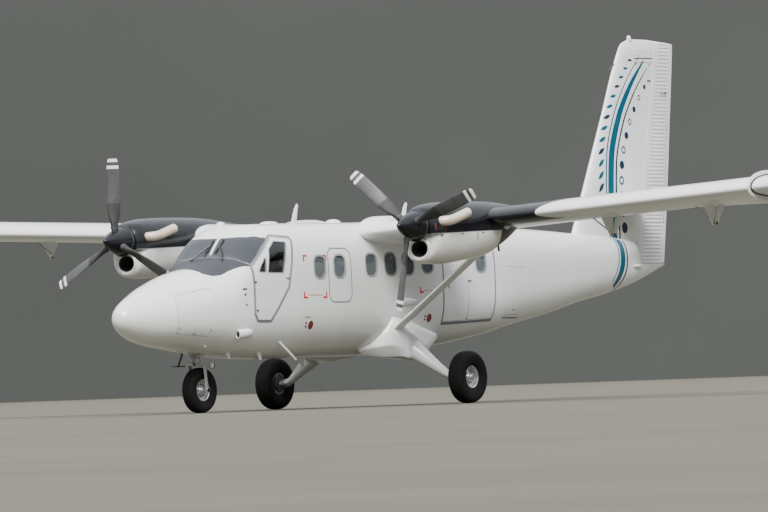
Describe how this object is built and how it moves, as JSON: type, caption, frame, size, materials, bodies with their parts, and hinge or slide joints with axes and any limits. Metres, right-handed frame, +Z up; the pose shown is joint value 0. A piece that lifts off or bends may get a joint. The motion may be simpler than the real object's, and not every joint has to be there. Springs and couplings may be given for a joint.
{
  "type": "twin turboprop high-wing airliner",
  "caption": "High-wing turboprop airliner on fixed tricycle gear, with strut-braced wings, hollow cabin, opening doors and moving controls.",
  "frame": {"origin": "on the ground under the middle of the aircraft's bounding box, where the tyres stand", "axes": "+X is the aircraft's left, along the span; +Y points aft, along the fuselage; +Z is up"},
  "size_m": [19.81, 15.77, 6.005],
  "materials": {
    "white_paint": "gloss white paint over light alloy, slightly dusty low down",
    "black_paint": "gloss black paint on the upper cowls",
    "window_glass": "dark clear acrylic and glass panes",
    "engine_metal": "plain block that stands for the gas turbine",
    "exhaust_metal": "heat-stained bare steel",
    "propeller_paint": "black-painted forged blades",
    "gear_metal": "painted and plated steel legs",
    "rim_metal": "cast light alloy wheel halves",
    "tyre_rubber": "black balloon tyres with dusty shoulders",
    "dark_plastic": "dark cockpit plastic",
    "seat_fabric": "dark blue woven seat covers"
  },
  "bodies": {
    "airframe": {"nose_section": "white_paint", "cabin_belly": "white_paint", "cockpit_section": "white_paint", "windscreen_left": "window_glass", "windscreen_right": "window_glass", "cabin_roof": "white_paint", "cabin_wall_left": "white_paint", "cabin_wall_right": "white_paint", "tail_cone": "white_paint", "wing_left": "white_paint", "wing_right": "white_paint", "strut_left": "white_paint", "strut_right": "white_paint", "nacelle_upper_left": "black_paint", "nacelle_upper_right": "black_paint", "nacelle_lower_left": "white_paint", "nacelle_lower_right": "white_paint", "engine_left": "engine_metal", "engine_right": "engine_metal", "exhaust_left": "exhaust_metal", "exhaust_right": "exhaust_metal", "fin": "white_paint", "tailplane": "white_paint", "gear_fairing_left": "white_paint", "gear_fairing_right": "white_paint", "main_leg_left": "gear_metal", "main_leg_right": "gear_metal", "nose_leg": "gear_metal", "instrument_panel": "dark_plastic", "control_column": "dark_plastic", "crew_seat_left": "seat_fabric", "crew_seat_right": "seat_fabric", "passenger_seats_left": "seat_fabric", "passenger_seats_right": "seat_fabric"},
    "left_propeller": {"propeller_left": "propeller_paint"},
    "right_propeller": {"propeller_right": "propeller_paint"},
    "left_main_wheel": {"main_tyre_left": "tyre_rubber", "main_rim_left": "rim_metal"},
    "right_main_wheel": {"main_tyre_right": "tyre_rubber", "main_rim_right": "rim_metal"},
    "steering": {"nose_fork": "gear_metal"},
    "nose_wheel": {"nose_tyre": "tyre_rubber", "nose_rim": "rim_metal"},
    "rudder_body": {"rudder": "white_paint"},
    "left_elevator": {"elevator_left": "white_paint"},
    "right_elevator": {"elevator_right": "white_paint"},
    "left_aileron": {"aileron_left": "white_paint"},
    "right_aileron": {"aileron_right": "white_paint"},
    "left_flap_in": {"flap_inboard_left": "white_paint"},
    "left_flap_out": {"flap_outboard_left": "white_paint"},
    "right_flap_in": {"flap_inboard_right": "white_paint"},
    "right_flap_out": {"flap_outboard_right": "white_paint"},
    "left_crew_door": {"crew_door_left": "white_paint"},
    "right_crew_door": {"crew_door_right": "white_paint"},
    "door_front_leaf": {"cabin_door_front_leaf": "white_paint"},
    "door_rear_leaf": {"cabin_door_rear_leaf": "white_paint"},
    "right_cabin_door": {"cabin_door_right": "white_paint"},
    "nose_door": {"nose_baggage_door": "white_paint"},
    "aft_door": {"aft_baggage_door": "white_paint"}
  },
  "joints": [
    {"name": "left_propeller_spin", "type": "hinge", "parent": "airframe", "child": "left_propeller", "pos_m": [2.79, -4.225, 2.717], "axis": [0, 1, 0], "continuous": true},
    {"name": "right_propeller_spin", "type": "hinge", "parent": "airframe", "child": "right_propeller", "pos_m": [-2.79, -4.225, 2.717], "axis": [0, 1, 0], "continuous": true},
    {"name": "left_wheel_spin", "type": "hinge", "parent": "airframe", "child": "left_main_wheel", "pos_m": [1.855, -1.395, 0.408], "axis": [1, 0, 0], "continuous": true},
    {"name": "right_wheel_spin", "type": "hinge", "parent": "airframe", "child": "right_main_wheel", "pos_m": [-1.855, -1.395, 0.408], "axis": [1, 0, 0], "continuous": true},
    {"name": "nose_steer", "type": "hinge", "parent": "airframe", "child": "steering", "pos_m": [0, -5.945, 0.75], "axis": [0, 0, 1], "range_deg": [-60, 60]},
    {"name": "nose_wheel_spin", "type": "hinge", "parent": "steering", "child": "nose_wheel", "pos_m": [0, -5.895, 0.345], "axis": [1, 0, 0], "continuous": true},
    {"name": "rudder_hinge", "type": "hinge", "parent": "airframe", "child": "rudder_body", "pos_m": [0, 6.405, 2.235], "axis": [0, 0.2288, 0.9735], "range_deg": [-25, 25]},
    {"name": "left_elevator_hinge", "type": "hinge", "parent": "airframe", "child": "left_elevator", "pos_m": [1.6, 6.525, 3.18], "axis": [1, 0, 0], "range_deg": [-16, 26]},
    {"name": "right_elevator_hinge", "type": "hinge", "parent": "airframe", "child": "right_elevator", "pos_m": [-1.6, 6.525, 3.18], "axis": [1, 0, 0], "range_deg": [-16, 26]},
    {"name": "left_aileron_hinge", "type": "hinge", "parent": "airframe", "child": "left_aileron", "pos_m": [8.1, -1.125, 3.0935], "axis": [0.9986, 0, 0.0523], "range_deg": [-17, 17]},
    {"name": "right_aileron_hinge", "type": "hinge", "parent": "airframe", "child": "right_aileron", "pos_m": [-8.1, -1.125, 3.0935], "axis": [0.9986, 0, -0.0523], "range_deg": [-17, 17]},
    {"name": "left_flap_in_hinge", "type": "hinge", "parent": "airframe", "child": "left_flap_in", "pos_m": [1.7, -1.265, 2.3591], "axis": [-0.9986, 0, -0.0523], "range_deg": [0, 37.5]},
    {"name": "left_flap_out_hinge", "type": "hinge", "parent": "airframe", "child": "left_flap_out", "pos_m": [4.86, -1.265, 2.5247], "axis": [-0.9986, 0, -0.0523], "range_deg": [0, 37.5]},
    {"name": "right_flap_in_hinge", "type": "hinge", "parent": "airframe", "child": "right_flap_in", "pos_m": [-1.7, -1.265, 2.3591], "axis": [-0.9986, 0, 0.0523], "range_deg": [0, 37.5]},
    {"name": "right_flap_out_hinge", "type": "hinge", "parent": "airframe", "child": "right_flap_out", "pos_m": [-4.86, -1.265, 2.5247], "axis": [-0.9986, 0, 0.0523], "range_deg": [0, 37.5]},
    {"name": "left_crew_door_hinge", "type": "hinge", "parent": "airframe", "child": "left_crew_door", "pos_m": [0.835, -5.5, 1.8], "axis": [0, 0, -1], "range_deg": [0, 80]},
    {"name": "right_crew_door_hinge", "type": "hinge", "parent": "airframe", "child": "right_crew_door", "pos_m": [-0.835, -5.5, 1.8], "axis": [0, 0, 1], "range_deg": [0, 80]},
    {"name": "front_leaf_hinge", "type": "hinge", "parent": "airframe", "child": "door_front_leaf", "pos_m": [0.885, -0.525, 1.9], "axis": [0, 0, -1], "range_deg": [0, 90]},
    {"name": "rear_leaf_hinge", "type": "hinge", "parent": "airframe", "child": "door_rear_leaf", "pos_m": [0.88, 0.945, 1.9], "axis": [0, 0, 1], "range_deg": [0, 90]},
    {"name": "right_door_hinge", "type": "hinge", "parent": "airframe", "child": "right_cabin_door", "pos_m": [-0.872, 0.135, 1.9], "axis": [0, 0, 1], "range_deg": [0, 90]},
    {"name": "nose_door_hinge", "type": "hinge", "parent": "airframe", "child": "nose_door", "pos_m": [0.407, -7.045, 1.814], "axis": [-0.2574, -0.9599, -0.1113], "range_deg": [0, 80]},
    {"name": "aft_door_hinge", "type": "hinge", "parent": "airframe", "child": "aft_door", "pos_m": [0.829, 1.32, 1.8], "axis": [0, 0, -1], "range_deg": [0, 90]}
  ],
  "couplings": [
    {"joint": "right_elevator_hinge", "follows": "left_elevator_hinge", "ratio": 1},
    {"joint": "right_aileron_hinge", "follows": "left_aileron_hinge", "ratio": -1},
    {"joint": "left_flap_out_hinge", "follows": "left_flap_in_hinge", "ratio": 1},
    {"joint": "right_flap_in_hinge", "follows": "left_flap_in_hinge", "ratio": 1},
    {"joint": "right_flap_out_hinge", "follows": "left_flap_in_hinge", "ratio": 1}
  ]
}
